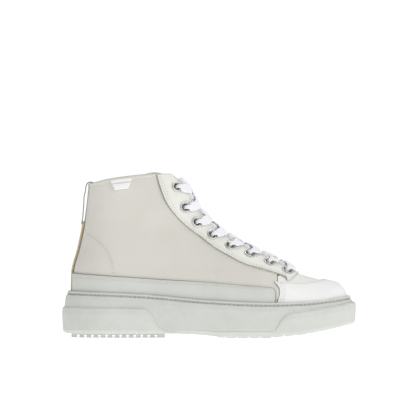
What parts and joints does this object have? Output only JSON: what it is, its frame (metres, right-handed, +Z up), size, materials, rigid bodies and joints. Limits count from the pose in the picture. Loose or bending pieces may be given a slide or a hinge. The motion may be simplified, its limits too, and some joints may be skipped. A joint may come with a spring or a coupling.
{
  "type": "basketball high top",
  "caption": "Lace-up high-top basketball shoe with canvas quarters, leather overlays, metal eyelets, padded collar and tongue, and a stitched thick rubber cupsole.",
  "frame": {"origin": "middle of the bounding box on the ground plane under the sole", "axes": "+X heel to toe, +Y towards the inner (medial) side of the right foot, +Z up"},
  "size_m": [0.3006, 0.1132, 0.1691],
  "materials": {
    "canvas": "cream plain-weave canvas",
    "lining": "soft cotton twill",
    "eyestay_leather": "smooth off-white leather",
    "foxing_leather": "fine-grained pale grey leather",
    "toe_leather": "smooth white leather",
    "stiffener": "resin-stiffened board",
    "foam": "open-cell foam",
    "suede": "tan suede, matte nap",
    "webbing": "grey herringbone webbing",
    "tab": "plain woven tab, blank",
    "tongue_fabric": "padded canvas",
    "nickel": "satin nickel",
    "lace": "flat woven cotton lace",
    "aglet": "clear acetate",
    "sole_rubber": "matte pale grey rubber",
    "midsole": "light midsole foam",
    "shank": "spring steel",
    "thread": "waxed white thread"
  },
  "bodies": {
    "shoe": {"quarter_lateral": "canvas", "quarter_medial": "canvas", "collar_binding": "canvas", "lining_lateral": "lining", "lining_medial": "lining", "vamp_lining": "lining", "eyestay_lateral": "eyestay_leather", "eyestay_medial": "eyestay_leather", "vamp": "eyestay_leather", "foxing_lateral": "foxing_leather", "foxing_medial": "foxing_leather", "toe_bumper": "toe_leather", "facing_lateral": "stiffener", "facing_medial": "stiffener", "toe_puff": "stiffener", "heel_counter": "stiffener", "insole_board": "stiffener", "collar_foam": "foam", "backstay": "suede", "pull_loop": "webbing", "side_tab": "tab", "eyelet_lateral_1": "nickel", "eyelet_lateral_2": "nickel", "eyelet_lateral_3": "nickel", "eyelet_lateral_4": "nickel", "eyelet_lateral_5": "nickel", "eyelet_lateral_6": "nickel", "eyelet_lateral_7": "nickel", "eyelet_lateral_8": "nickel", "eyelet_medial_1": "nickel", "eyelet_medial_2": "nickel", "eyelet_medial_3": "nickel", "eyelet_medial_4": "nickel", "eyelet_medial_5": "nickel", "eyelet_medial_6": "nickel", "eyelet_medial_7": "nickel", "eyelet_medial_8": "nickel", "lace": "lace", "aglet_lateral": "aglet", "aglet_medial": "aglet", "cupsole": "sole_rubber", "heel_tread": "sole_rubber", "forefoot_tread": "sole_rubber", "midsole_core": "midsole", "shank": "shank", "sidewall_thread": "thread"},
    "tongue": {"tongue_outer": "tongue_fabric", "tongue_foam": "foam", "tongue_lining": "lining"},
    "sockliner": {"sockliner": "lining"}
  },
  "joints": [
    {"name": "tongue_tilt", "type": "hinge", "parent": "shoe", "child": "tongue", "pos_m": [0.098, 0, 0.0565], "axis": [0, 1, 0], "range_deg": [-12, 0]},
    {"name": "sockliner_lift", "type": "hinge", "parent": "shoe", "child": "sockliner", "pos_m": [0.1335, 0, 0.035], "axis": [0, 1, 0], "range_deg": [0, 6]}
  ]
}
